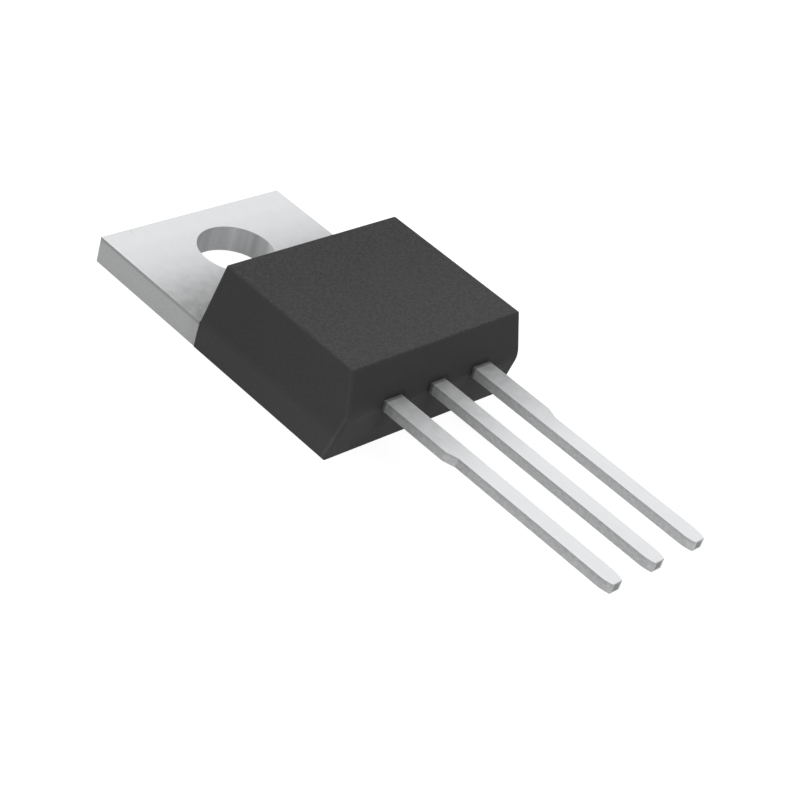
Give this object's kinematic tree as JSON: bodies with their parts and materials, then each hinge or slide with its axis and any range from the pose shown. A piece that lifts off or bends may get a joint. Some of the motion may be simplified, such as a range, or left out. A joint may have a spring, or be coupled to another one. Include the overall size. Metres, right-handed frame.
{
  "type": "power mosfet",
  "caption": "Through-hole power transistor: black moulded body on a flat plated metal tab with a screw hole, and straight flat leads.",
  "frame": {"origin": "centre of the tab's screw hole on the mounting plane, which is the flat back of the tab", "axes": "+Z out of the mounting plane towards the top of the moulding, +Y from the leads towards the end of the tab, and the source lead on the +X side"},
  "size_m": [0.0104, 0.0279, 0.0044],
  "materials": {
    "mould_compound": "matt black epoxy moulding with a fine spark-eroded grain",
    "plated_copper": "satin tin and nickel plating on copper",
    "silicon": "polished silicon with aluminium pads",
    "soft_solder": "dull soft solder",
    "aluminium_wire": "drawn aluminium bond wire"
  },
  "bodies": {
    "root": {"mold_body": "mould_compound", "header_drain_lead": "plated_copper", "gate_lead": "plated_copper", "source_lead": "plated_copper", "silicon_die": "silicon", "die_attach_solder": "soft_solder", "gate_bond_wire": "aluminium_wire", "source_bond_wire_1": "aluminium_wire", "source_bond_wire_2": "aluminium_wire", "source_bond_wire_3": "aluminium_wire"}
  },
  "joints": []
}
